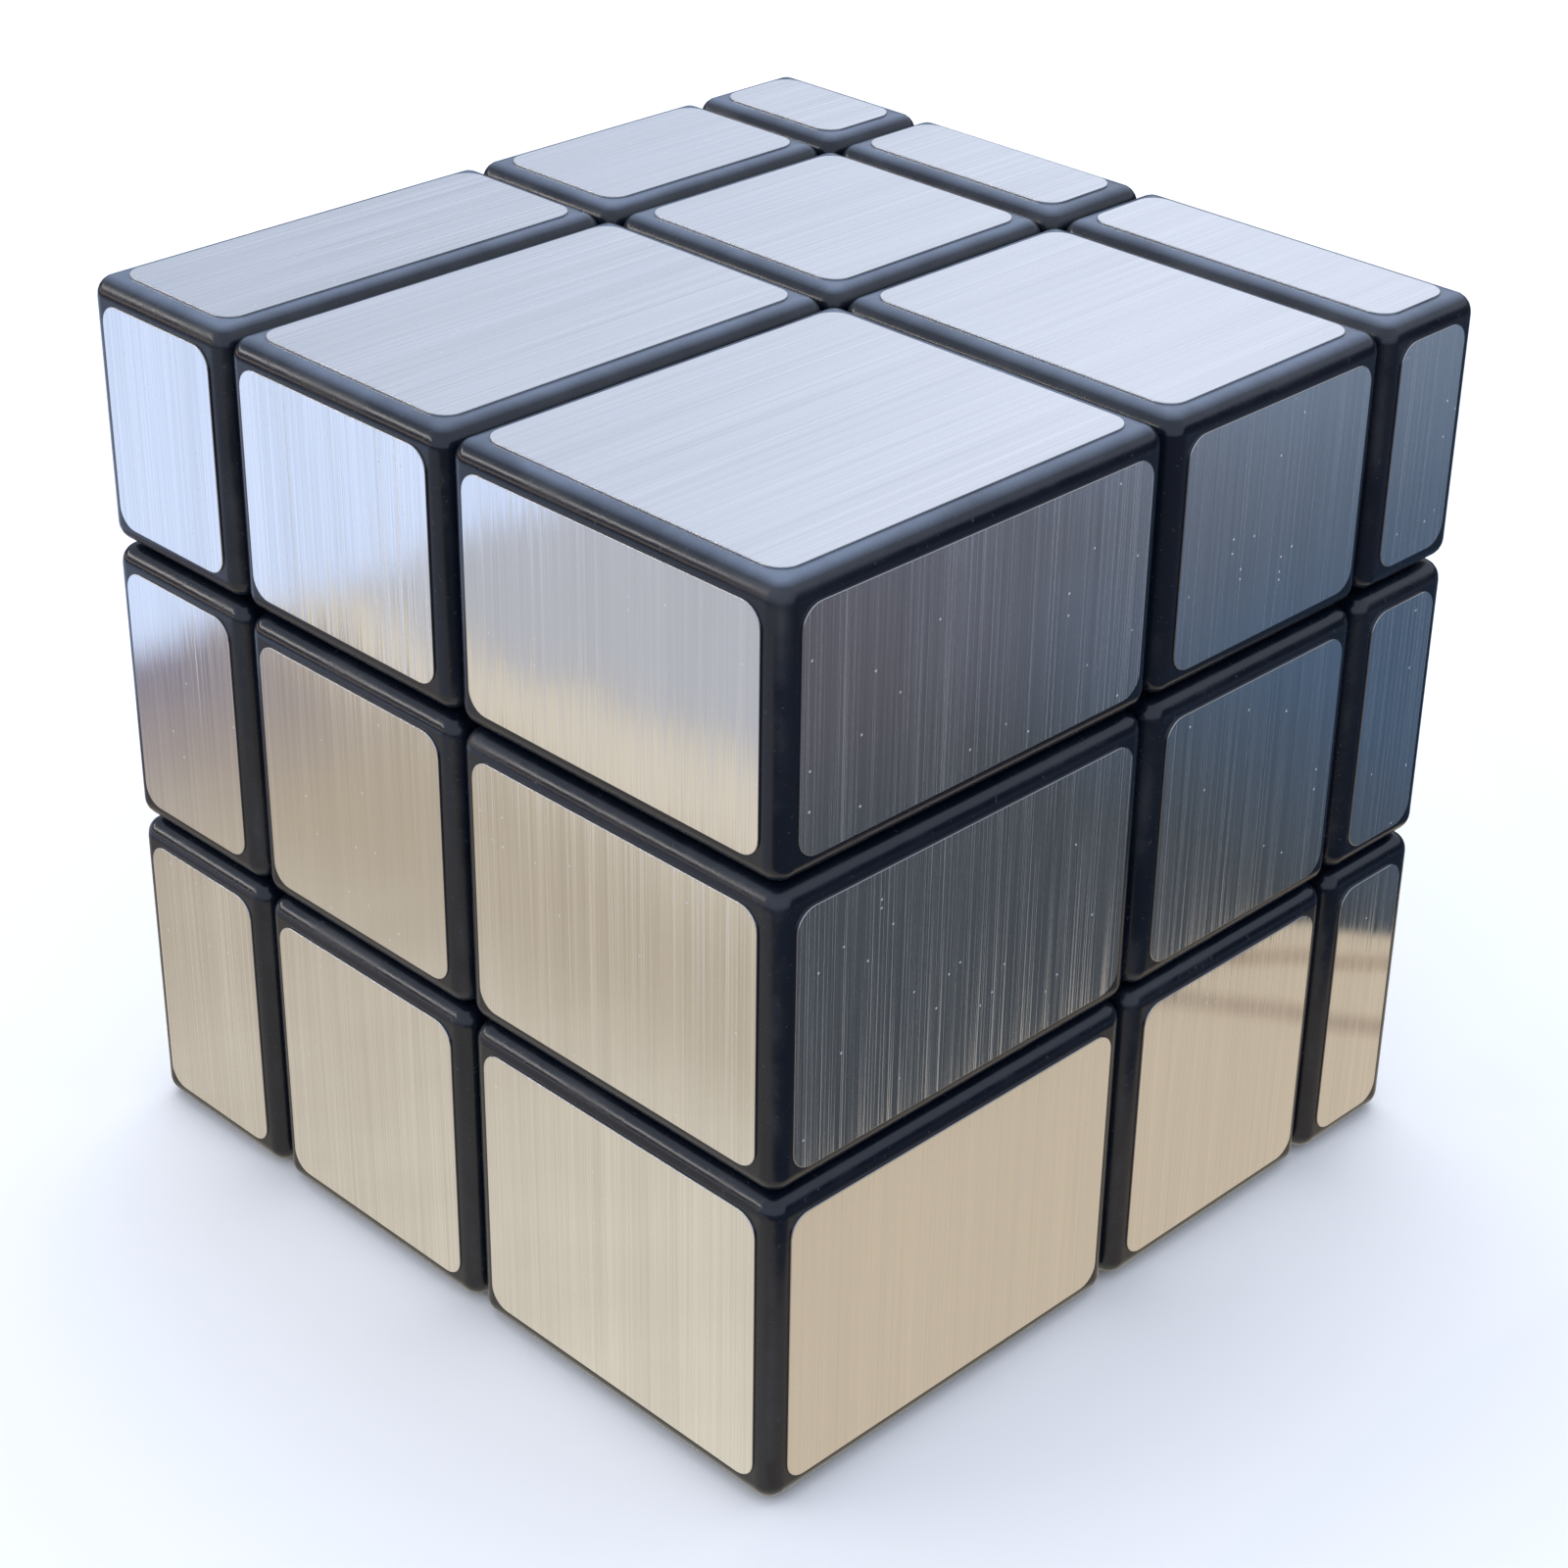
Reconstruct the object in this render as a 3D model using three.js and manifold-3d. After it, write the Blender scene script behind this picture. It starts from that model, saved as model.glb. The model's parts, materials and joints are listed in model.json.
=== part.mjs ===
// A 3 x 3 x 3 twisty puzzle cube with unequal layers.
//
// All the blocks are as long as the layers they lie in, so the cube is regular only when it is solved.
// Every layer turns about one point, the middle of the core, which is not the middle of the cube.
//
// Inside, a six-armed core carries six centres, each held by a screw, a washer and a spring. The
// centres' caps and their stalks trap the feet of the twelve edges, and the edges trap the feet of the
// eight corners.
//
// Millimetres, +Z up, front at -Y, right at +X. The origin is the middle of the underside.

import * as THREE from "three";
import { RoundedBoxGeometry } from "three/addons/geometries/RoundedBoxGeometry.js";
import { mergeVertices } from "three/addons/utils/BufferGeometryUtils.js";
import Module from "manifold-3d";

// Layers. The three middle ones are equal, so that any layer can turn by a quarter.
const MIDDLE_LAYER = 19;
const RIGHT_LAYER = 25;
const LEFT_LAYER = 13;
const FRONT_LAYER = 29;
const BACK_LAYER = 9;
const TOP_LAYER = 17;
const BOTTOM_LAYER = 21;

// Blocks.
const GAP = 0.3; // between two pieces that slide past each other
const FIT = 0.1; // between two pieces that are pushed or glued together
const OVERLAP = 1; // by which shapes run into each other where they are joined or cut
const EDGE_RADIUS = 1.2; // on every edge of a block
const WALL = 1.6; // of the hollow blocks
const UNDERCUT = 2.5; // how far a foot reaches below the blocks beside it
const NECK = 1.1; // thickness of the neck between a corner's block and its foot
const VENT_RADIUS = 2; // opening from an edge's hollow through its foot

// Lids that close the corners' hollows, below the foil on the top and the underside.
const LID_THICKNESS = 1;
const LID_MARGIN = 2.2; // from the lid's pocket to the block's sides
const LEDGE_WIDTH = 1; // on which the lid lies
const LEDGE_THICKNESS = 0.7;

// Centres.
const CAP_PLATE = 1; // outer wall of a cap
const SLEEVE_WALL = 1.15; // of the cap's sleeve around the top of the stalk
const SLEEVE_DEPTH = 2.8;
const WELL_RADIUS = 4; // of the well that holds spring, washer and screw head
const FLOOR = 1.2; // of the well
const ARM_RADIUS = 3; // of the core's arms, on which the centres turn
const ARM_ENGAGEMENT = 2; // length of arm inside a stalk
const ARM_CLEARANCE = 0.2; // between an arm and its stalk

// Core and hardware.
const HUB_HALF = 4.6; // half the width of the core's hub
const SHOULDER_RADIUS = 4.2; // of the arm's shoulder, which faces the stalk
const SCREW_RADIUS = 1.15;
const SCREW_LENGTH = 12; // below the head
const SCREW_CLEARANCE = 0.1;
const HEAD_RADIUS = 2.9;
const HEAD_HEIGHT = 1.5;
const CROWN_RADIUS = 2.3; // of the flat on top of the head
const CROWN_HEIGHT = 0.5; // of the chamfer around it
const SLOT_WIDTH = 0.7; // of the cross recess in the screw's head
const SLOT_LENGTH = 3.2;
const SLOT_DEPTH = 0.9;
const WASHER_THICKNESS = 0.4;
const WIRE_RADIUS = 0.3;
const SPRING_TURNS = 4.5;

const BALL_SEGMENTS = 28;
const ROUND_SEGMENTS = 16;
const EDGE_SEGMENTS = 1; // across a block's rounded edge
const WIRE_SEGMENTS = 5; // around a spring's wire
const STEPS_PER_TURN = 8; // of a spring
const FAR = 200; // longer than anything that is cut
const MERGE_DISTANCE = 1e-4; // between points that are taken as one

// Where the layers end, measured from the middle of the core.
const half = MIDDLE_LAYER / 2;
const reach = {
  right: half + RIGHT_LAYER,
  left: half + LEFT_LAYER,
  front: half + FRONT_LAYER,
  back: half + BACK_LAYER,
  top: half + TOP_LAYER,
  bottom: half + BOTTOM_LAYER,
};
const corePosition = new THREE.Vector3(
  (reach.left - reach.right) / 2,
  (reach.front - reach.back) / 2,
  reach.bottom,
);
const blockInside = half - GAP / 2; // the middle layer's blocks end here
const blockOutside = half + GAP / 2; // and the outer layers' blocks start here
const footInside = half - UNDERCUT - GAP / 2; // the same for stalks and feet
const footOutside = half - UNDERCUT + GAP / 2;
const footRadius = Math.sqrt(3) * blockOutside + NECK;
const hollowRadius = footRadius + GAP; // the blocks stay outside this ball

// Heights along one arm, measured from the middle of the core. The thinnest layer sets them for all six.
const capInside = Math.min(...Object.values(reach)) - CAP_PLATE;
const stalkTop = capInside - FIT;
const sleeveEnd = stalkTop - SLEEVE_DEPTH;
const headTop = capInside - GAP;
const headBottom = headTop - HEAD_HEIGHT;
const washerTop = headBottom - FIT;
const springTop = washerTop - WASHER_THICKNESS - FIT;
const armEnd = footOutside + ARM_ENGAGEMENT;
const boreTop = armEnd + ARM_CLEARANCE;
const floorTop = boreTop + FLOOR;
const springBottom = floorTop + FIT;
const screwTip = headBottom - SCREW_LENGTH;

const SIDES = {
  right: new THREE.Vector3(1, 0, 0),
  left: new THREE.Vector3(-1, 0, 0),
  front: new THREE.Vector3(0, -1, 0),
  back: new THREE.Vector3(0, 1, 0),
  top: new THREE.Vector3(0, 0, 1),
  bottom: new THREE.Vector3(0, 0, -1),
};

const blackPlastic = { color: 0x0c0d12, roughness: 0.22, metalness: 0 };
const corePlastic = { color: 0x1c1d21, roughness: 0.5, metalness: 0 };
const steel = { color: 0xb9bcc2, roughness: 0.3, metalness: 1 };

const wasm = await Module();
wasm.setup();

// A closed three.js geometry as a solid that can be cut and joined.
function solid(geometry) {
  const bare = geometry.clone();
  bare.deleteAttribute("normal");
  bare.deleteAttribute("uv");
  const merged = mergeVertices(bare, MERGE_DISTANCE);
  return new wasm.Manifold(
    new wasm.Mesh({
      numProp: 3,
      vertProperties: merged.attributes.position.array,
      triVerts: new Uint32Array(merged.index.array),
    }),
  );
}

// A named mesh of a solid.
function meshOf(name, shape, material) {
  const { vertProperties, triVerts } = shape.getMesh();
  const geometry = new THREE.BufferGeometry();
  geometry.setAttribute("position", new THREE.BufferAttribute(vertProperties, 3));
  geometry.setIndex(new THREE.BufferAttribute(triVerts, 1));
  geometry.computeVertexNormals();
  const mesh = new THREE.Mesh(geometry, new THREE.MeshStandardMaterial(material));
  mesh.name = name;
  return mesh;
}

// A box between two corners, with rounded edges if a radius is given.
function box(low, high, radius = 0) {
  const size = high.clone().sub(low);
  const geometry = radius
    ? new RoundedBoxGeometry(size.x, size.y, size.z, EDGE_SEGMENTS, radius)
    : new THREE.BoxGeometry(size.x, size.y, size.z);
  const middle = low.clone().add(high).divideScalar(2);
  return solid(geometry.translate(middle.x, middle.y, middle.z));
}

// An upright box around the Z axis, as wide as it is deep.
function post(halfWidth, bottom, top, radius = 0) {
  const low = new THREE.Vector3(-halfWidth, -halfWidth, bottom);
  return box(low, new THREE.Vector3(halfWidth, halfWidth, top), radius);
}

function ball(radius) {
  return solid(new THREE.SphereGeometry(radius, BALL_SEGMENTS, BALL_SEGMENTS / 2));
}

// An outline of [radius, height] points turned about the Z axis.
function turned(outline) {
  const points = outline.map(([radius, height]) => new THREE.Vector2(radius, height));
  return solid(new THREE.LatheGeometry(points, ROUND_SEGMENTS).rotateX(Math.PI / 2));
}

function rod(radius, bottom, top) {
  return turned([[0, bottom], [radius, bottom], [radius, top], [0, top]]);
}

// Lowest and highest corner of a block. The place is -1, 0 or 1 along each axis.
// The margin is taken off all round.
function blockCorners(place, margin = 0) {
  const spans = [
    [place.x, reach.left, reach.right],
    [place.y, reach.front, reach.back],
    [place.z, reach.bottom, reach.top],
  ].map(([layer, below, above]) => {
    if (layer > 0) return [blockOutside, above];
    if (layer < 0) return [-below, -blockOutside];
    return [-blockInside, blockInside];
  });
  const low = new THREE.Vector3(...spans.map(([start]) => start + margin));
  const high = new THREE.Vector3(...spans.map(([, end]) => end - margin));
  return [low, high];
}

// The box in one octant or quadrant that starts at a distance from each plane through the core where
// the place is not 0, and lies within the stalks' width where it is 0.
function region(place, start, end) {
  const spans = place.toArray().map((layer) => {
    if (layer > 0) return [start, end];
    if (layer < 0) return [-end, -start];
    return [-footInside, footInside];
  });
  return box(
    new THREE.Vector3(...spans.map(([low]) => low)),
    new THREE.Vector3(...spans.map(([, high]) => high)),
  );
}

const footBall = ball(footRadius);
const hollowBall = ball(hollowRadius);
const wallBall = ball(hollowRadius + WALL);

// Foot of an edge or a corner: the part of the inner ball that its neighbours' feet leave free.
function foot(place) {
  return region(place, footOutside, footRadius).intersect(footBall);
}

// Hollow of an edge or a corner, clear of the ball in which the feet turn.
function hollow(place) {
  return box(...blockCorners(place, WALL)).subtract(wallBall);
}

// Edge: a hollow block on a foot, open through the foot towards the core.
function edge(place) {
  const beside = hollowBall.subtract(region(place, 0, FAR));
  const direction = place.clone().normalize();
  const turn = new THREE.Quaternion().setFromUnitVectors(SIDES.top, direction);
  const matrix = new THREE.Matrix4().makeRotationFromQuaternion(turn);
  const vent = rod(VENT_RADIUS, 0, hollowRadius + WALL + OVERLAP).transform(matrix.toArray());
  return box(...blockCorners(place), EDGE_RADIUS)
    .subtract(beside)
    .add(foot(place))
    .subtract(hollow(place))
    .subtract(vent);
}

// Pocket, opening or lid in a corner's top or underside, between two depths below the face.
function lidBox(place, margin, from, to) {
  const [low, high] = blockCorners(place, margin);
  const face = place.z * (place.z > 0 ? reach.top : reach.bottom);
  const ends = [face - place.z * from, face - place.z * to];
  low.z = Math.min(...ends);
  high.z = Math.max(...ends);
  return box(low, high);
}

// Corner: a hollow block on a foot. Its three inner edges are sharp next to the neck.
function corner(place) {
  const tipEnd = blockOutside + EDGE_RADIUS + NECK;
  const pocketDepth = LID_THICKNESS + FIT;
  const roof = pocketDepth + LEDGE_THICKNESS;
  const inside = hollow(place).subtract(lidBox(place, 0, 0, roof));
  return box(...blockCorners(place), EDGE_RADIUS)
    .add(region(place, blockOutside, tipEnd))
    .add(foot(place))
    .subtract(inside)
    .subtract(lidBox(place, LID_MARGIN, -FIT, pocketDepth))
    .subtract(lidBox(place, LID_MARGIN + LEDGE_WIDTH, 0, roof + WALL));
}

function cornerLid(place) {
  return lidBox(place, LID_MARGIN + FIT, 0, LID_THICKNESS);
}

// Stalk of a centre: a square post with a bore for the arm, a floor for the spring and a well for the
// screw.
function stalk() {
  const outside = post(footInside, footOutside, sleeveEnd).add(
    post(footInside - SLEEVE_WALL - FIT, sleeveEnd - OVERLAP, stalkTop),
  );
  return outside
    .subtract(rod(ARM_RADIUS + ARM_CLEARANCE, 0, boreTop))
    .subtract(rod(SCREW_RADIUS + SCREW_CLEARANCE, 0, FAR))
    .subtract(rod(WELL_RADIUS, floorTop, FAR));
}

// Cap of a centre: a block whose sleeve is pushed over the top of the stalk. It is hollow above the ball
// in which the feet turn, if it is high enough.
function cap(height) {
  const inside = height - CAP_PLATE;
  const column = post(footInside, sleeveEnd + FIT, FAR);
  const shell = post(blockInside, blockOutside, height, EDGE_RADIUS)
    .subtract(hollowBall.subtract(column))
    .subtract(post(footInside - SLEEVE_WALL, 0, inside));
  if (inside < hollowRadius + WALL) return shell;
  return shell.subtract(post(blockInside - WALL, 0, inside).subtract(wallBall));
}

// Core: a hub with six arms, each with a shoulder below the stalk and a hole for the screw.
function core() {
  const hub = post(HUB_HALF, -HUB_HALF, HUB_HALF, EDGE_RADIUS);
  const arm = turned([
    [0, 0],
    [SHOULDER_RADIUS, 0],
    [SHOULDER_RADIUS, footInside],
    [ARM_RADIUS, footInside],
    [ARM_RADIUS, armEnd],
    [0, armEnd],
  ]);
  const hole = rod(SCREW_RADIUS + SCREW_CLEARANCE, screwTip - GAP, FAR);
  const placed = (shape, side) => {
    const turn = new THREE.Quaternion().setFromUnitVectors(SIDES.top, side);
    return shape.transform(new THREE.Matrix4().makeRotationFromQuaternion(turn).toArray());
  };
  let shape = hub;
  for (const side of Object.values(SIDES)) shape = shape.add(placed(arm, side));
  for (const side of Object.values(SIDES)) shape = shape.subtract(placed(hole, side));
  return shape;
}

function screw() {
  const outside = turned([
    [0, screwTip],
    [SCREW_RADIUS / 2, screwTip],
    [SCREW_RADIUS, screwTip + SCREW_RADIUS],
    [SCREW_RADIUS, headBottom],
    [HEAD_RADIUS, headBottom],
    [HEAD_RADIUS, headTop - CROWN_HEIGHT],
    [CROWN_RADIUS, headTop],
    [0, headTop],
  ]);
  const long = SLOT_LENGTH / 2;
  const wide = SLOT_WIDTH / 2;
  const depth = headTop - SLOT_DEPTH;
  const slot = box(new THREE.Vector3(-long, -wide, depth), new THREE.Vector3(long, wide, FAR));
  return outside.subtract(slot).subtract(slot.rotate([0, 0, 90]));
}

function washer() {
  const bottom = washerTop - WASHER_THICKNESS;
  return rod(WELL_RADIUS - GAP, bottom, washerTop).subtract(
    rod(SCREW_RADIUS + SCREW_CLEARANCE, 0, FAR),
  );
}

class Helix extends THREE.Curve {
  constructor(radius, bottom, top, turns) {
    super();
    Object.assign(this, { radius, bottom, top, turns });
  }

  getPoint(t, target = new THREE.Vector3()) {
    const angle = 2 * Math.PI * this.turns * t;
    const height = this.bottom + (this.top - this.bottom) * t;
    return target.set(this.radius * Math.cos(angle), this.radius * Math.sin(angle), height);
  }
}

// Compression spring between the well's floor and the washer.
function spring() {
  const section = new THREE.Shape(
    Array.from({ length: WIRE_SEGMENTS }, (_, i) => {
      const angle = (i * Math.PI * 2) / WIRE_SEGMENTS;
      return new THREE.Vector2(Math.cos(angle), Math.sin(angle)).multiplyScalar(WIRE_RADIUS);
    }),
  );
  const coilRadius = WELL_RADIUS - WIRE_RADIUS - GAP;
  const lift = WIRE_RADIUS + FIT;
  const path = new Helix(coilRadius, springBottom + lift, springTop - lift, SPRING_TURNS);
  const steps = Math.round(STEPS_PER_TURN * SPRING_TURNS);
  const wire = { steps, bevelEnabled: false, extrudePath: path };
  return solid(new THREE.ExtrudeGeometry(section, wire));
}

const cube = new THREE.Group();
const mechanism = new THREE.Group();
mechanism.position.copy(corePosition);
cube.add(mechanism);

mechanism.add(meshOf("core", core(), corePlastic));

for (const [name, direction] of Object.entries(SIDES)) {
  const side = new THREE.Group();
  side.quaternion.setFromUnitVectors(SIDES.top, direction);
  side.add(meshOf("screw_" + name, screw(), steel));
  side.add(meshOf("washer_" + name, washer(), steel));
  side.add(meshOf("spring_" + name, spring(), steel));
  side.add(meshOf("centre_stalk_" + name, stalk(), corePlastic));
  side.add(meshOf("centre_cap_" + name, cap(reach[name]), blackPlastic));
  mechanism.add(side);
}

// Every other block, named after the sides that it shows.
const LAYER_NAMES = {
  z: { "-1": "bottom", 1: "top" },
  y: { "-1": "front", 1: "back" },
  x: { "-1": "left", 1: "right" },
};
for (const z of [-1, 0, 1]) {
  for (const y of [-1, 0, 1]) {
    for (const x of [-1, 0, 1]) {
      const place = new THREE.Vector3(x, y, z);
      const sides = [LAYER_NAMES.z[z], LAYER_NAMES.y[y], LAYER_NAMES.x[x]].filter(Boolean);
      const name = sides.join("_");
      if (sides.length === 2) mechanism.add(meshOf("edge_" + name, edge(place), blackPlastic));
      if (sides.length === 3) {
        mechanism.add(meshOf("corner_" + name, corner(place), blackPlastic));
        mechanism.add(meshOf("corner_lid_" + name, cornerLid(place), blackPlastic));
      }
    }
  }
}

export default cube;
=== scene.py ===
import itertools
import json
import math

import bpy
import numpy as np
from mathutils import Matrix, Vector

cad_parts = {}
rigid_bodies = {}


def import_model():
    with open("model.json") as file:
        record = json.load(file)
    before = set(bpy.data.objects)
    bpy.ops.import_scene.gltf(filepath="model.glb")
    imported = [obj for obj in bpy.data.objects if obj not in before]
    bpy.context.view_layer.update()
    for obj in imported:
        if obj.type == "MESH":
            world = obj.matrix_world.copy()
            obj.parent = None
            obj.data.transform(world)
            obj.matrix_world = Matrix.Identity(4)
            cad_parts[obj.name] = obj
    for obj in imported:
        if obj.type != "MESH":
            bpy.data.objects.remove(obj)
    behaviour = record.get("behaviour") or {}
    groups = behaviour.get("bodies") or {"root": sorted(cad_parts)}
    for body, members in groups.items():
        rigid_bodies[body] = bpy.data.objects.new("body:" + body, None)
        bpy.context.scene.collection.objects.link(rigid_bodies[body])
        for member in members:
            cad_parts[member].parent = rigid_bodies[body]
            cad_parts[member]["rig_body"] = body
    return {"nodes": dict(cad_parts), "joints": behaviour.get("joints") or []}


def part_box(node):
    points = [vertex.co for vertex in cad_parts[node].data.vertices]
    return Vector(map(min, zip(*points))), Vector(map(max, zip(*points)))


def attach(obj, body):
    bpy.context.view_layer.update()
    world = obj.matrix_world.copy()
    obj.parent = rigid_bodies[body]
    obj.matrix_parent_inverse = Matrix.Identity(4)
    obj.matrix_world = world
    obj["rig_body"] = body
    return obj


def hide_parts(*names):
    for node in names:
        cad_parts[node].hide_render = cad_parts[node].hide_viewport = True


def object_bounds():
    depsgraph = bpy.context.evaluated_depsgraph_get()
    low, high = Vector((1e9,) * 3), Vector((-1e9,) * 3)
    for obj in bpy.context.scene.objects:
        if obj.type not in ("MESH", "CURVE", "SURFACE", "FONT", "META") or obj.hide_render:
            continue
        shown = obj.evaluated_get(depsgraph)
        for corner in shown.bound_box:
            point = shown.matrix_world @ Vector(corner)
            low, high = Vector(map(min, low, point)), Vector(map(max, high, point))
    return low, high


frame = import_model()
cad_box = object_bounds()


# Blocks
# Twenty of the cube's 26 blocks are the edges and corners: boxes moulded in black plastic, each on a foot
# that reaches under its neighbours. Every block stops half a sliding gap short of the seams.

gap = 0.0003
foil_thickness = 0.00012
fillet = 0.0012
grid_step = 0.0015
arc_steps = 6
tiny = 1e-12
nearly = 0.999
pivot = np.array(frame["joints"][0]["pos_m"])
middle = (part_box("centre_cap_top")[1].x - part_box("centre_cap_top")[0].x) / 2
outer = middle + gap
stalk = (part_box("centre_stalk_top")[1].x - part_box("centre_stalk_top")[0].x) / 2
foot_start = stalk + gap
neck = 0.0011
foot_ball = math.sqrt(3) * (middle + gap) + neck
block_ball = foot_ball + gap
depth_kept = 0.02
neck_reach = 0.9 * foot_ball


def outline(half, corner):
    """Columns of a grid: a rectangle's corner centres and sides, and the direction that each is pushed in.

    Going round, the direction turns by a quarter circle on each corner centre and stays put along each side.
    """
    signs = np.array([[1, 1], [-1, 1], [-1, -1], [1, -1]])
    centres = signs * (half - corner)
    places, angles = [], []
    for quarter, (here, there) in enumerate(zip(centres, np.roll(centres, -1, axis=0))):
        turn = quarter * math.pi / 2 + np.linspace(0, math.pi / 2, arc_steps + 1)
        along = np.linspace(0, 1, math.ceil(np.abs(there - here).sum() / grid_step) + 1)[1:-1, None]
        places += [np.repeat(here[None], arc_steps + 1, axis=0), here + along * (there - here)]
        angles += [turn, np.full(len(along), turn[-1])]
    angle = np.concatenate(angles)
    return np.concatenate(places), np.stack([np.cos(angle), np.sin(angle)], axis=1)


def slab(low, high, corner, rim):
    """A closed solid with a rounded outline and rounded rims: its points, their normals and its faces.

    Each row is the outline drawn in by the rim's inset. Inset and height follow a quarter circle round each
    rim, and across the two flat faces the row shrinks to a pole in the middle.
    """
    half = (high - low) / 2
    centres, direction = outline(half[:2], corner)
    shrink = np.linspace(0, 1, math.ceil(half[:2].min() / grid_step) + 1)[1:-1]
    wall = np.linspace(-1, 1, math.ceil(2 * half[2] / grid_step) + 1)[1:-1]
    arc = np.linspace(0, math.pi / 2, arc_steps + 1)
    flat, level = np.ones_like(shrink), np.ones_like(arc)
    scale = np.concatenate([shrink, level, np.ones_like(wall), level, shrink[::-1]])
    quarter = math.pi / 2
    slope = np.concatenate([-flat * quarter, arc - quarter, wall * 0, arc, flat * quarter])
    straight = half[2] - rim
    side = np.concatenate([flat * -1, level * -1, wall, level, flat])
    push = corner - rim + rim * np.cos(slope)
    flat_row = scale[:, None, None] * (centres + push[:, None, None] * direction)
    height = side * straight + rim * np.sin(slope)
    one_each = flat_row.shape[:2] + (1,)
    rows = np.concatenate([flat_row, np.broadcast_to(height[:, None, None], one_each)], axis=2)
    tilt = np.broadcast_to(np.sin(slope)[:, None, None], one_each)
    normals = np.concatenate([np.cos(slope)[:, None, None] * direction[None], tilt], axis=2)
    pole = np.array([[0, 0, half[2]]])
    points = np.concatenate([-pole, rows.reshape(-1, 3), pole]) + (low + high) / 2
    normals = np.concatenate([[[0, 0, -1]], normals.reshape(-1, 3), [[0, 0, 1]]])
    count, columns = len(scale), len(direction)
    index = 1 + np.arange(count * columns).reshape(count, columns)
    beside = np.roll(index, -1, axis=1)
    quads = np.stack([index[:-1], beside[:-1], beside[1:], index[1:]], axis=2).reshape(-1, 4)
    top = count * columns + 1
    under = np.stack([np.zeros(columns, int), beside[0], index[0]], axis=1)
    over = np.stack([index[-1], beside[-1], np.full(columns, top)], axis=1)
    return points, normals, under.tolist() + quads.tolist() + over.tolist()


def joined(*solids):
    """Several solids as the points, normals and faces of one mesh."""
    starts = np.cumsum([0] + [len(points) for points, _, _ in solids]).tolist()
    faces = []
    for start, solid in zip(starts, solids):
        faces += [[start + corner for corner in face] for face in solid[2]]
    points, normals = (np.concatenate([solid[part] for solid in solids]) for part in (0, 1))
    return points, normals, faces


def piece(name, points, normals, faces):
    """A named object whose mesh has the given points, exact normals and faces."""
    mesh = bpy.data.meshes.new(name)
    mesh.from_pydata(points.tolist(), [], faces)
    mesh.polygons.foreach_set("use_smooth", np.ones(len(mesh.polygons), bool))
    mesh.normals_split_custom_set_from_vertices(normals.tolist())
    made = bpy.data.objects.new(name, mesh)
    bpy.context.collection.objects.link(made)
    return made


def spans(place, inside, near, far_low, far_high):
    """Lowest and highest corner of a box that lies in the layer -1, 0 or 1 along each axis."""
    place = np.array(place)
    low = np.where(place > 0, near, np.where(place < 0, -far_low, -inside))
    high = np.where(place > 0, far_high, np.where(place < 0, -near, inside))
    return pivot + low, pivot + high


def block_box(place):
    """A block's own box. Its outer faces lie one foil thickness inside the cube's box."""
    below = pivot - np.array(cad_box[0]) - foil_thickness
    above = np.array(cad_box[1]) - pivot - foil_thickness
    return spans(place, middle, outer, below, above)


def clear_of_feet(solid, place):
    """Points nearer to the core than the ball that the feet turn in are moved out to it.

    Only the part of a point's place that lies along the block's own sides is stretched, so no wall bulges
    towards a neighbour. A point that was deeper stays deeper, by a small share of the difference.
    """
    points, normals, faces = solid
    reach = points - pivot
    distance = np.linalg.norm(reach, axis=1, keepdims=True)
    outward = reach * np.abs(place)
    beside = reach - outward
    goal = block_ball - (block_ball - distance) * depth_kept
    beside_squared = (beside**2).sum(axis=1, keepdims=True)
    stretch = np.sqrt((goal**2 - beside_squared) / (outward**2).sum(axis=1, keepdims=True))
    near = distance < block_ball
    moved = beside + np.where(near, stretch, 1) * outward
    normals = np.where(near, -moved / np.linalg.norm(moved, axis=1, keepdims=True), normals)
    return pivot + moved, normals, faces


def foot(place):
    """Box of the foot's share of the inside, drawn in to the ball that the feet fill.

    A point outside the ball moves towards the foot's inner edge or corner: anchor + t * offset, where t
    solves |anchor + t * offset| = radius.
    """
    points, normals, faces = slab(*spans(place, stalk, foot_start, foot_ball, foot_ball), gap, gap)
    moving = np.abs(np.array(place))
    offset = (points - pivot - np.array(place) * foot_start) * moving
    anchor = points - pivot - offset
    a = np.maximum((offset**2).sum(axis=1), tiny)
    b = (anchor * offset).sum(axis=1)
    c = (anchor**2).sum(axis=1) - foot_ball**2
    t = np.minimum((np.sqrt(b**2 - a * c) - b) / a, 1)[:, None]
    drawn = anchor + t * offset
    on_ball = (t < 1) & (np.linalg.norm(drawn, axis=1, keepdims=True) > foot_ball * nearly)
    return pivot + drawn, np.where(on_ball, drawn / foot_ball, normals), faces


LAYERS = [{-1: "left", 1: "right"}, {-1: "front", 1: "back"}, {-1: "bottom", 1: "top"}]


def sides_of(place):
    """Names of the sides that a block shows: top or bottom first, then front or back, then left or right."""
    return [LAYERS[axis][place[axis]] for axis in (2, 1, 0) if place[axis]]


blocks = {}
for place in itertools.product((-1, 0, 1), repeat=3):
    sides = sides_of(place)
    name = "_".join(sides)
    if len(sides) == 2:
        shell = clear_of_feet(slab(*block_box(place), fillet, fillet), place)
        neck_solid = slab(*spans(place, stalk, outer, neck_reach, neck_reach), gap, gap)
        blocks[place] = piece("edge_block_" + name, *joined(shell, neck_solid, foot(place)))
        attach(blocks[place], "edge_" + name)
        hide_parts("edge_" + name)
    if len(sides) == 3:
        shell = slab(*block_box(place), fillet, fillet)
        neck_end = outer + fillet + neck
        neck_solid = slab(*spans(place, stalk, outer, neck_end, neck_end), gap / 2, gap / 2)
        blocks[place] = piece("corner_block_" + name, *joined(shell, neck_solid, foot(place)))
        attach(blocks[place], "corner_" + name)
        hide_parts("corner_" + name)


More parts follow.
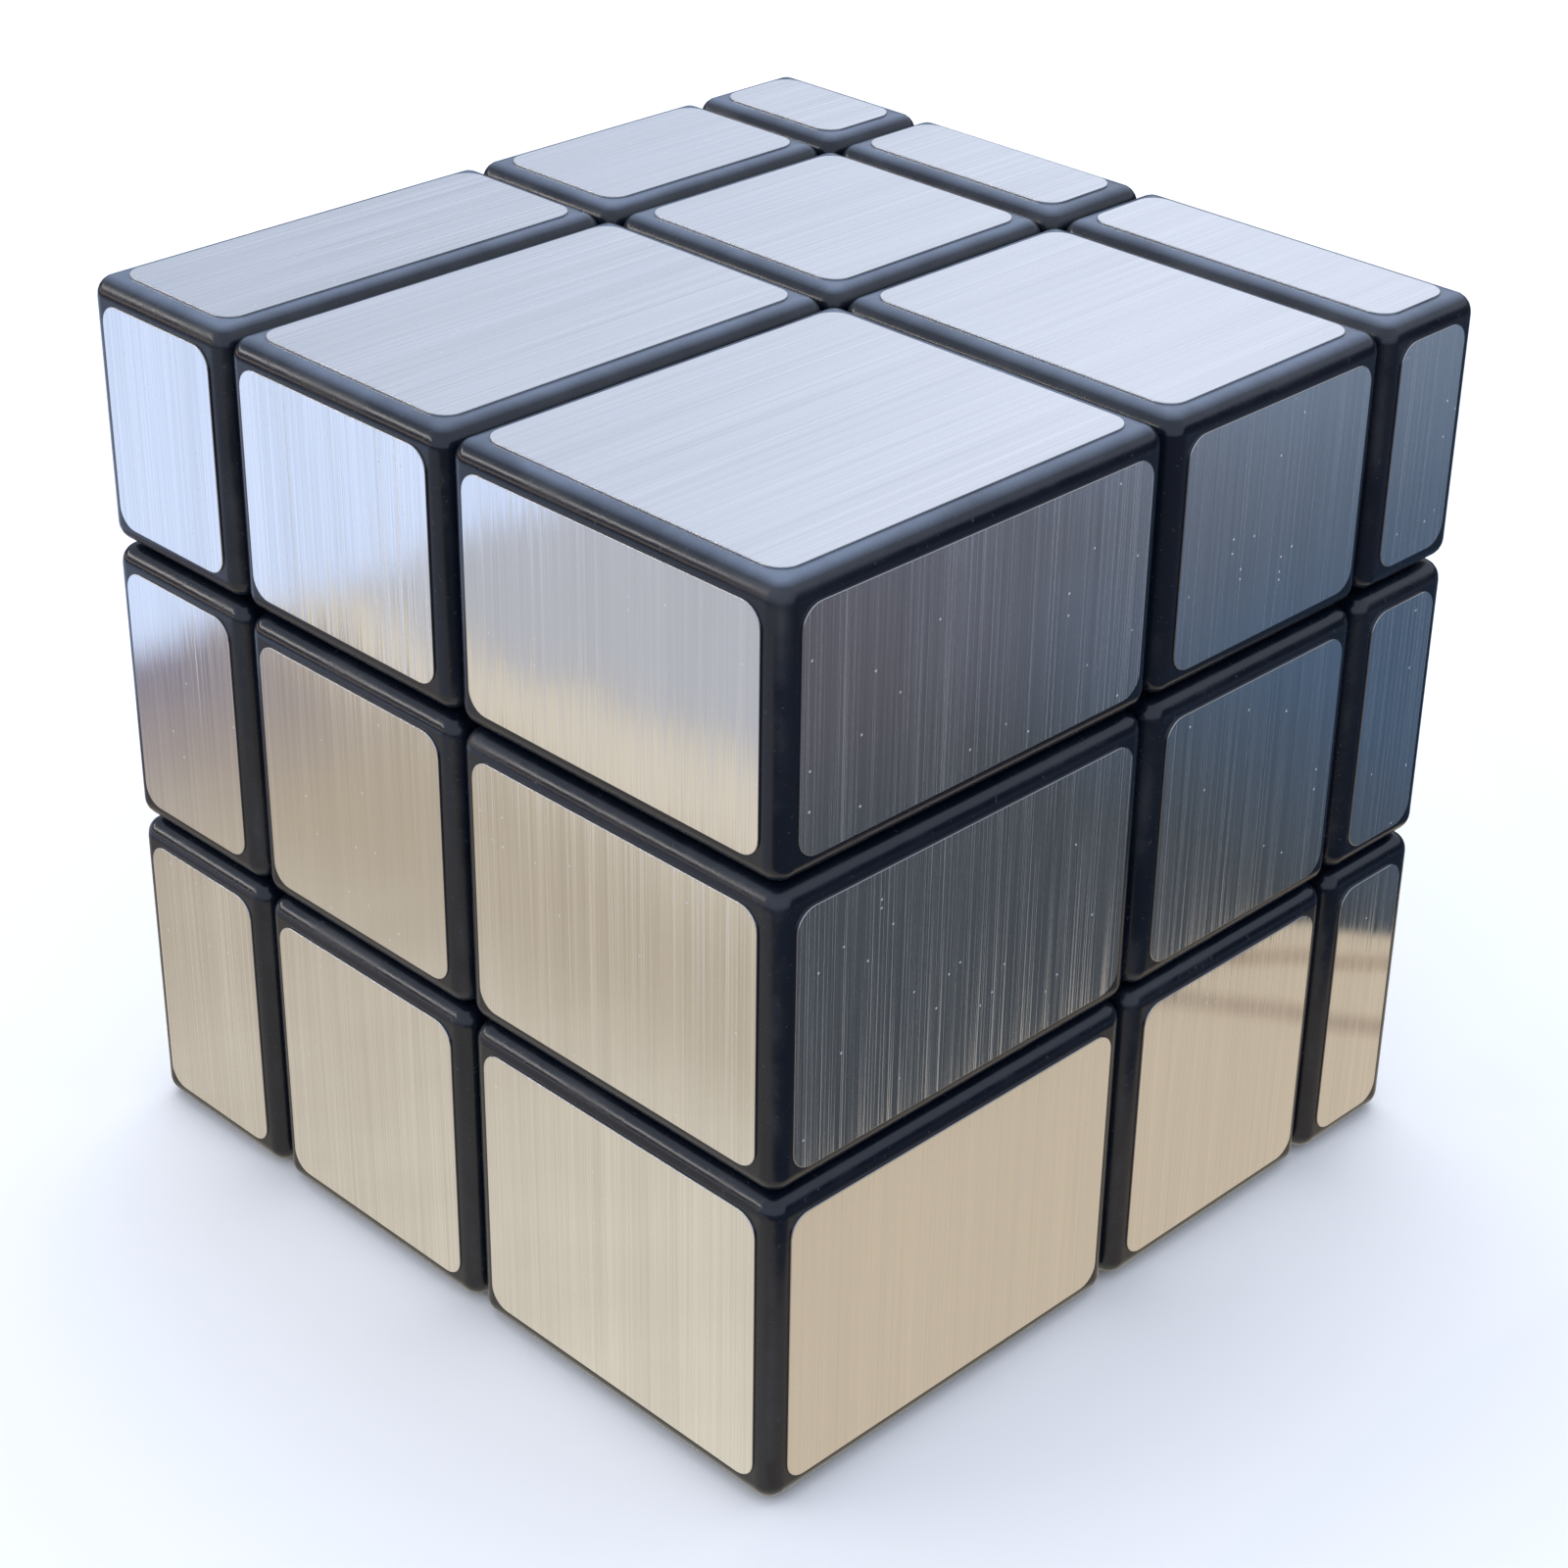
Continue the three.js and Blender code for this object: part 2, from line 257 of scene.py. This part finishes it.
# Centre caps
# The other six blocks are caps, moulded like the edges and pushed over the stalks by a square sleeve. Each
# cap is domed underneath to clear the feet.

sleeve_wall = 0.00115
sleeve_depth = 0.0028


def on_side(direction, points):
    """Turns points from a frame whose third axis is 'out' to the side that faces in a direction."""
    out = np.array(direction, float)
    along = np.array([0.0, 0, 1]) if direction[2] == 0 else np.array([0.0, 1, 0])
    return points @ np.stack([np.cross(along, out), along, out])


def sleeve(bottom, top):
    """A square tube: a rectangular profile carried round a square outline."""
    centres, direction = outline(np.array([stalk, stalk]), gap)
    push = np.array([gap, gap, gap - sleeve_wall, gap - sleeve_wall])
    height = np.array([bottom, top, top, bottom])
    flat = centres + push[:, None, None] * direction
    points = np.concatenate([flat, np.broadcast_to(height[:, None, None], flat.shape[:2] + (1,))], axis=2)
    side = np.broadcast_to(np.sign(push - gap / 2)[:, None, None], flat.shape[:2] + (1,))
    normals = np.concatenate([side * direction, np.zeros(flat.shape[:2] + (1,))], axis=2)
    index = np.arange(points.shape[0] * points.shape[1]).reshape(points.shape[:2])
    beside, above = np.roll(index, -1, axis=1), np.roll(index, -1, axis=0)
    quads = np.stack([index, beside, np.roll(above, -1, axis=1), above], axis=2)
    return points.reshape(-1, 3), normals.reshape(-1, 3), quads.reshape(-1, 4).tolist()


stalk_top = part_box("centre_stalk_top")[1].z - pivot[2]
for place in itertools.product((-1, 0, 1), repeat=3):
    sides = sides_of(place)
    if len(sides) == 1:
        shell = clear_of_feet(slab(*block_box(place), fillet, fillet), place)
        tube_points, tube_normals, tube_faces = sleeve(stalk_top - sleeve_depth, stalk_top)
        tube = pivot + on_side(place, tube_points), on_side(place, tube_normals), tube_faces
        blocks[place] = piece("cap_block_" + sides[0], *joined(shell, tube))
        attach(blocks[place], "centre_" + sides[0])
        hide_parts("centre_cap_" + sides[0])


# Black plastic
# Blocks, caps and lids are glossy injection-moulded ABS with a faint orange peel and fine dust. The rounded
# edges are rubbed a little dull and grey, and a painted blue-grey sky reflection lies on top of the cube.


class Shade:
    """One output of a shader tree. Operators on it add Math nodes; node() adds any other node."""

    def __init__(self, tree, output=None):
        self.tree, self.output = tree, output

    def node(self, kind, inputs=None, output=0, stops=None, **settings):
        """Adds a node: first its settings, then a ramp's stops, then the values or links of its inputs."""
        made = self.tree.nodes.new(kind)
        for name, value in settings.items():
            setattr(made, name, value)
        if stops:
            ramp = made.color_ramp.elements
            while len(ramp) < len(stops):
                ramp.new(1)
            for element, (position, colour) in zip(ramp, stops):
                element.position, element.color = position, (*colour, 1)
        for name, value in (inputs or {}).items():
            if isinstance(value, Shade):
                self.tree.links.new(value.output, made.inputs[name])
            else:
                made.inputs[name].default_value = value
        return Shade(self.tree, made.outputs[output])

    def maths(self, operation, first, second=0.0, clamp=False):
        return self.node("ShaderNodeMath", {0: first, 1: second}, operation=operation, use_clamp=clamp)

    def __add__(self, other):
        return self.maths("ADD", self, other)

    def __sub__(self, other):
        return self.maths("SUBTRACT", self, other)

    def __rsub__(self, other):
        return self.maths("SUBTRACT", other, self)

    def __mul__(self, other):
        return self.maths("MULTIPLY", self, other)

    __radd__, __rmul__ = __add__, __mul__

    def between(self, start, end):
        """0 up to the start, 1 from the end, and an even rise between them."""
        return self.node("ShaderNodeMapRange", {"Value": self, "From Min": start, "From Max": end})

    def mix(self, first, second):
        """A colour that goes from the first to the second as this value goes from 0 to 1."""
        return self.node("ShaderNodeMix", {0: self, 6: first, 7: second}, output=2, data_type="RGBA")


def material(name, **constants):
    """A new material with a Principled shader, whose named sockets are set to constants."""
    made = bpy.data.materials.new(name)
    made.use_nodes = True
    shader = made.node_tree.nodes["Principled BSDF"]
    for socket, value in constants.items():
        shader.inputs[socket.replace("_", " ")].default_value = value
    return made, Shade(made.node_tree), shader


def feed(shader, **links):
    """Links sockets of a shader to what varies over the surface."""
    for socket, value in links.items():
        value.tree.links.new(value.output, shader.inputs[socket.replace("_", " ")])


def grey(value, tint=(1, 1, 1)):
    return (value * tint[0], value * tint[1], value * tint[2], 1)


black, tree, shader = material("black_plastic", Specular_IOR_Level=0.5, IOR=1.5)
place_on_cube = tree.node("ShaderNodeTexCoord", output="Object")
facing = tree.node("ShaderNodeTexCoord", output="Normal")
axes = [facing.node("ShaderNodeSeparateXYZ", {0: facing}, output=axis) for axis in range(3)]
sizes = [tree.maths("ABSOLUTE", axis) for axis in axes]
flatness = tree.maths("MAXIMUM", tree.maths("MAXIMUM", sizes[0], sizes[1]), sizes[2])
rounded = (1 - flatness).between(0.02, 0.25)
peel = tree.node("ShaderNodeTexNoise", {"Vector": place_on_cube, "Scale": 900.0, "Detail": 2.0})
smudges = {"Vector": place_on_cube, "Scale": 160.0, "Detail": 5.0, "Roughness": 0.6}
smear = tree.node("ShaderNodeTexNoise", smudges)
grime = smear.between(0.45, 0.75)
speck_noise = tree.node("ShaderNodeTexNoise", {"Vector": place_on_cube, "Scale": 3200.0, "Detail": 1.0})
specks = speck_noise.between(0.70, 0.76)
rubbed = rounded * grime
base = (rubbed * 0.6 + specks * 0.35).mix((0.004, 0.007, 0.014, 1), (0.045, 0.05, 0.06, 1))
# Painted reflection: the cube's top faces are tinted blue-grey in place of the sky mirrored in the plastic.
height = place_on_cube.node("ShaderNodeSeparateXYZ", {0: place_on_cube}, output=2)
upward_faces = axes[2].between(0.75, 0.98) * height.between(0.053, 0.055)
painted_sky_sheen = upward_faces * (0.55 + smear.between(0.3, 0.7) * 0.6)
base = painted_sky_sheen.mix(base, (0.12, 0.152, 0.21, 1))
bump = tree.node("ShaderNodeBump", {"Strength": 0.07, "Distance": 0.0002, "Height": peel + smear * 0.6})
feed(shader, Base_Color=base, Roughness=0.2 + grime * 0.12 + rubbed * 0.14 + specks * 0.2, Normal=bump)
for made in blocks.values():
    made.data.materials.append(black)


# Corner lids
# Each corner's hollow is closed from above or below by a small black plate, glued into a pocket and covered
# by the foil. It is as thick as its CAD node and lies a hair below the face of the plastic.

lid_sink = 0.00003

for place in itertools.product((-1, 1), repeat=3):
    name = "_".join(sides_of(place))
    low, high = (np.array(corner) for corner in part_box("corner_lid_" + name))
    sink = np.array([0, 0, place[2] * (foil_thickness + lid_sink)])
    lid = piece("lid_" + name, *slab(low - sink, high - sink, gap, gap / 3))
    lid.data.materials.append(black)
    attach(lid, "corner_" + name)
    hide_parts("corner_lid_" + name)


# Foil squares
# Fifty-four pieces of brushed mirror foil under a clear film, die-cut with round corners and stuck on, one to
# each outer face of a block. The grain is upright on the four sides and runs front to back on the other two.

foil_inset = 0.00131
foil_play = 0.00005
foil_corner = 0.0013
foil_rim = 0.00004
seat = 0.00001

foil, tree, shader = material("brushed_foil", Metallic=1.0)
sheet = tree.node("ShaderNodeUVMap", uv_map="grain")
across = tree.node("ShaderNodeSeparateXYZ", {0: sheet}, output=0)
along = tree.node("ShaderNodeSeparateXYZ", {0: sheet}, output=1)


def streaks(width, length, detail=2.0):
    """Noise drawn out along the grain: a value from 0 to 1, with the size of its marks in metres."""
    stretched = tree.node("ShaderNodeCombineXYZ", {0: across * (1 / width), 1: along * (1 / length)})
    marks = {"Vector": stretched, "Scale": 1.0, "Detail": detail, "Roughness": 0.6}
    return tree.node("ShaderNodeTexNoise", marks, noise_dimensions="2D")


fine = streaks(0.00008, 0.03)
coarse = streaks(0.0003, 0.05)
broad = streaks(0.0025, 0.06, 1.0)
wave_across = streaks(0.016, 0.016, 1.0)
wave_along = streaks(0.0161, 0.0161, 1.0)
laid = tree.node("ShaderNodeAttribute", output=1, attribute_name="laid")
bends = [tree.node("ShaderNodeSeparateXYZ", {0: laid}, output=axis) for axis in range(3)]
bend_across, bend_along, depth = bends
lean_across = (fine - 0.5) * 0.12 + (coarse - 0.5) * 0.05 + (wave_across - 0.5) * 0.03 + bend_across
lean_along = (wave_along - 0.5) * 0.02 + bend_along
lean = tree.node("ShaderNodeCombineXYZ", {0: lean_across * 0.5 + 0.5, 1: lean_along * 0.5 + 0.5, 2: 1.0})
normal = tree.node("ShaderNodeNormalMap", {"Color": lean}, uv_map="grain")
brightness = ((fine * 0.45 + coarse * 0.35 + broad * 0.2 - 0.5) * depth).between(-0.18, 0.18)
silver = brightness.mix(grey(0.77, (1.0, 0.99, 0.97)), grey(0.91, (1.0, 0.99, 0.97)))
worn = (fine * 0.5 + coarse * 0.5).between(0.35, 0.75)
scratch = streaks(0.0001, 0.045, 3.0).between(0.50, 0.72) * depth
patches = {"Vector": sheet, "Scale": 130.0, "Detail": 1.0}
cluster = tree.node("ShaderNodeTexNoise", patches, noise_dimensions="2D")
grains = {"Vector": sheet, "Scale": 1100.0}
dots = tree.node("ShaderNodeTexVoronoi", grains, voronoi_dimensions="2D")
chance = tree.node("ShaderNodeTexVoronoi", grains, output=1, voronoi_dimensions="2D")
chance = chance.node("ShaderNodeSeparateXYZ", {0: chance}, output=0) + cluster.between(0.5, 0.75) * 0.08
dust = (1 - dots.between(0.05, 0.10)) * chance.between(0.975, 0.985)
feed(
    shader,
    Base_Color=dust.mix(silver, grey(0.6)),
    Metallic=1 - dust * 0.8 - scratch * 0.07,
    Roughness=0.045 + worn * 0.09 + scratch * 0.15,
    Normal=normal,
)

film_edge = material("film_edge", Metallic=1.0, Roughness=0.3, Base_Color=grey(0.6))[0]

brushed_deeper = {
    "foil_right_on_front_right": 2.3,
    "foil_front_on_top_front": 2.8,
    "foil_front_on_top_front_left": 2.1,
}
lean_of_foil = 0.004
rng = np.random.default_rng(7)
for axis, sign in itertools.product(range(3), (-1, 1)):
    out = [0, 0, 0]
    out[axis] = sign
    turn = on_side(out, np.eye(3))
    for place in blocks:
        if place[axis] != sign:
            continue
        low, high = (np.array(corner) @ turn.T for corner in block_box(place))
        low, high = np.minimum(low, high), np.maximum(low, high)
        shift = rng.uniform(-foil_play, foil_play, 2)
        low = np.array([*(low[:2] + foil_inset + shift), high[2] - seat])
        high = np.array([*(high[:2] - foil_inset + shift), high[2] + foil_thickness])
        points, normals, faces = slab(low, high, foil_corner, foil_rim)
        name = "foil_" + LAYERS[axis][sign] + "_on_" + blocks[place].name.split("_block_")[1]
        made = piece(name, points @ turn, normals @ turn, faces)
        grain = made.data.uv_layers.new(name="grain")
        corners = np.empty(len(made.data.loops), int)
        made.data.loops.foreach_get("vertex_index", corners)
        grain.uv.foreach_set("vector", (points[corners, :2] + rng.uniform(-1, 1, 2)).ravel())
        depth_of_grain = brushed_deeper.get(name, rng.uniform(0.6, 1.8))
        laid = made.data.attributes.new("laid", "FLOAT_VECTOR", "POINT")
        leans = rng.normal(0, lean_of_foil, 2)
        laid.data.foreach_set("vector", np.tile([*leans, depth_of_grain], len(points)))
        upper = np.array([normals[face, 2].min() > nearly for face in faces])
        made.data.materials.append(foil)
        made.data.materials.append(film_edge)
        made.data.polygons.foreach_set("material_index", np.where(upper, 0, 1))
        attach(made, blocks[place]["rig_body"])


# Core and stalks
# The six-armed core and the square stalks that turn on its arms are moulded in dull, slippery black nylon.

nylon, tree, shader = material("inner_nylon", Specular_IOR_Level=0.4)
place_on_cube = tree.node("ShaderNodeTexCoord", output="Object")
flow = tree.node("ShaderNodeTexNoise", {"Vector": place_on_cube, "Scale": 300.0, "Detail": 4.0})
bump = tree.node("ShaderNodeBump", {"Strength": 0.2, "Distance": 0.0002, "Height": flow})
feed(
    shader,
    Base_Color=flow.mix(grey(0.02), grey(0.045)),
    Roughness=0.4 + flow * 0.2,
    Normal=bump,
)
for name, node in frame["nodes"].items():
    if name == "core" or name.startswith("centre_stalk_"):
        node.data.materials.clear()
        node.data.materials.append(nylon)


# Screws, washers and springs
# Zinc-plated steel: turned screws with a cross recess, punched washers and coiled springs.

zinc, tree, shader = material("zinc_plate", Metallic=1.0)
place_on_cube = tree.node("ShaderNodeTexCoord", output="Object")
plating = tree.node("ShaderNodeTexNoise", {"Vector": place_on_cube, "Scale": 1500.0, "Detail": 3.0})
bump = tree.node("ShaderNodeBump", {"Strength": 0.1, "Distance": 0.0001, "Height": plating})
feed(
    shader,
    Base_Color=plating.mix(grey(0.5, (1, 1, 1.03)), grey(0.66, (1, 1, 1.02))),
    Roughness=0.25 + plating * 0.2,
    Normal=bump,
)
for name, node in frame["nodes"].items():
    if name.split("_")[0] in ("screw", "washer", "spring"):
        node.data.materials.clear()
        node.data.materials.append(zinc)


# Studio
# A pale floor under a bright overcast sky with two gleams at the front left. A card that is seen only in
# reflections stands for the ground: sand-coloured by the cube, slate and blue behind and right of it, with a
# pale haze on the left.


def shade_of(code):
    """A colour such as "#c0ffee" in linear light."""
    parts = [int(code[at : at + 2], 16) / 255 for at in (1, 3, 5)]
    return (*(((part + 0.055) / 1.055) ** 2.4 if part > 0.04 else part / 12.92 for part in parts), 1)


def ground(name, half, height):
    """A flat square of the stage, centred under the cube."""
    corners = np.array([[-1, -1, 0], [1, -1, 0], [1, 1, 0], [-1, 1, 0]])
    points = corners * half + np.array([0, 0, height])
    made = piece(name, points, np.array([[0, 0, 1.0]] * 4), [[0, 1, 2, 3]])
    return made


stage_half = 6.0
card_height = 0.0001
brightness_of_day = 1.2

floor = ground("floor", stage_half, 0.0)
floor.data.materials.append(material("floor_paper", Base_Color=grey(0.9, (1, 1, 0.99)), Roughness=0.9)[0])
floor.visible_glossy = False

mirrored = ground("mirrored_ground", stage_half, card_height)
mirrored.visible_camera = False
mirrored.visible_diffuse = False
mirrored.visible_shadow = False
yard, tree, shader = material("mirrored_ground", Base_Color=grey(0), Roughness=1.0, Specular_IOR_Level=0.0)
spot = tree.node("ShaderNodeTexCoord", output="Object")
right = tree.node("ShaderNodeSeparateXYZ", {0: spot}, output=0)
back = tree.node("ShaderNodeSeparateXYZ", {0: spot}, output=1)
wobble = tree.node("ShaderNodeTexNoise", {"Vector": spot, "Scale": 90.0, "Detail": 4.0, "Roughness": 0.6})
right_edge, back_edge = right + wobble * 0.006 - 0.003, back + wobble * 0.006 - 0.003
sand = (right + wobble * 0.05).between(-0.03, 0.055).mix(shade_of("#b2a89a"), shade_of("#d2ccbe"))
joint = back_edge.between(-0.076, -0.066) * (1 - back_edge.between(-0.058, -0.050)) * 0.6
kerb = back_edge.between(-0.086, -0.084) * (1 - back_edge.between(-0.078, -0.073))
sand = joint.mix(sand, shade_of("#aa9e8c"))
sand = kerb.mix(sand, shade_of("#d2cabc"))
paving = back_edge.between(-0.087, -0.084).mix(shade_of("#b0b3bd"), sand)
shadow = (1 - right_edge.between(-0.078, -0.052)) * back_edge.between(-0.078, -0.066)
paving = shadow.mix(paving, shade_of("#857f8c"))
hazy_edge = (right + wobble * 0.003).between(-0.0825, -0.0775)
paving = hazy_edge.mix(shade_of("#cdddfc"), paving)
slab_joint = right + back * 1.6
slab_joint = slab_joint.between(0.0880, 0.0910) * (1 - slab_joint.between(0.0922, 0.0950))
bar = right + back * 1.03
bar = bar.between(0.0812, 0.0826) * (1 - bar.between(0.0840, 0.0856))
yard_right = (slab_joint * 0.6).mix(shade_of("#c0b3a0"), shade_of("#8f7d70"))
yard_right = (bar * 0.6).mix(yard_right, shade_of("#8f7a68"))
paving = right.between(0.0285, 0.0295).mix(paving, yard_right)
slate = right.between(0.075, 0.095).mix(shade_of("#42484f"), shade_of("#57565f"))
blue = right.between(0.07, 0.11).mix(shade_of("#455870"), shade_of("#6f7d92"))
clear = back.between(0.045, 0.072) * (1 - right.between(0.072, 0.1) * (1 - back.between(0.08, 0.12)) * 0.75)
slate = clear.mix(slate, blue)
behind = (right.between(0.0472, 0.0484) + (right + back * 1.36).between(0.1030, 0.1052)).between(0, 1)
distance = spot.node("ShaderNodeVectorMath", {0: spot}, output=1, operation="LENGTH")
near = behind.mix(paving, slate)
feed(shader, Emission_Color=distance.between(0.21, 0.34).mix(near, shade_of("#4c4549")))
shader.inputs["Emission Strength"].default_value = brightness_of_day
mirrored.data.materials.append(yard)

world = bpy.data.worlds.new("overcast")
bpy.context.scene.world = world
world.use_nodes = True
sky = world.node_tree.nodes["Background"]
view = Shade(world.node_tree).node("ShaderNodeTexCoord", output="Generated")
rightward = view.node("ShaderNodeSeparateXYZ", {0: view}, output=0)
upward = view.node("ShaderNodeSeparateXYZ", {0: view}, output=2)
frontward = 0 - view.node("ShaderNodeSeparateXYZ", {0: view}, output=1)
cloud = rightward.between(-0.80, -0.58).mix(shade_of("#b2bdd1"), shade_of("#d6dff2"))
skyline = upward - rightward.between(0.2, 0.6) * (1 - frontward.between(-0.4, 0)) * 0.12
skyline = skyline + (rightward + frontward).between(0.3, 0.9) * 0.3
haze = skyline.between(0.16, 0.27).mix(shade_of("#2c2e2a"), cloud)
gleam = (frontward * 0.643 - rightward * 0.766).between(0.84, 0.90)
low_gleam = gleam * (1 - upward.between(0.045, 0.065))
high_gleam = gleam * upward.between(0.295, 0.32) * (1 - upward.between(0.36, 0.385))
haze = low_gleam.mix(haze, (3.0, 2.5, 2.1, 1.0))
haze = high_gleam.mix(haze, (9.0, 8.4, 7.8, 1.0))
seen = view.node("ShaderNodeLightPath", output=0).mix(haze, grey(1.0))
world.node_tree.links.new(seen.output, sky.inputs["Color"])
sky.inputs["Strength"].default_value = brightness_of_day


def softbox(name, position, size, power, colour):
    """A square area lamp aimed at the middle of the cube."""
    lamp = bpy.data.lights.new(name, "AREA")
    lamp.size, lamp.energy, lamp.color = size, power, colour
    made = bpy.data.objects.new(name, lamp)
    made.location = position
    made.rotation_euler = (Vector((0, 0, 0.03)) - made.location).to_track_quat("-Z", "Y").to_euler()
    made.visible_glossy = False
    bpy.context.collection.objects.link(made)


softbox("sky_box", (-0.3, 0.3, 1.2), 1.2, 8.0, (1.0, 1.0, 1.0))


# Camera
# A camera held in the hand stands close to the cube and looks a little down on its front right corner, so
# that the front lies to the left and the right side to the right.

lens, film_width = 75.9, 36
stand = (0.1269, -0.1273, 0.1256)
azimuth, elevation, roll = math.radians(44.79), math.radians(29.54), math.radians(0.84)
camera = bpy.data.objects.new("camera", bpy.data.cameras.new("camera"))
camera.data.lens, camera.data.sensor_width = lens, film_width
camera.data.clip_start, camera.data.clip_end = 0.01, 20
aim = Matrix.Rotation(azimuth, 4, "Z") @ Matrix.Rotation(math.pi / 2 - elevation, 4, "X")
camera.matrix_world = Matrix.Translation(stand) @ aim @ Matrix.Rotation(roll, 4, "Z")
bpy.context.collection.objects.link(camera)
bpy.context.scene.camera = camera
bpy.context.scene.view_settings.view_transform = "Standard"
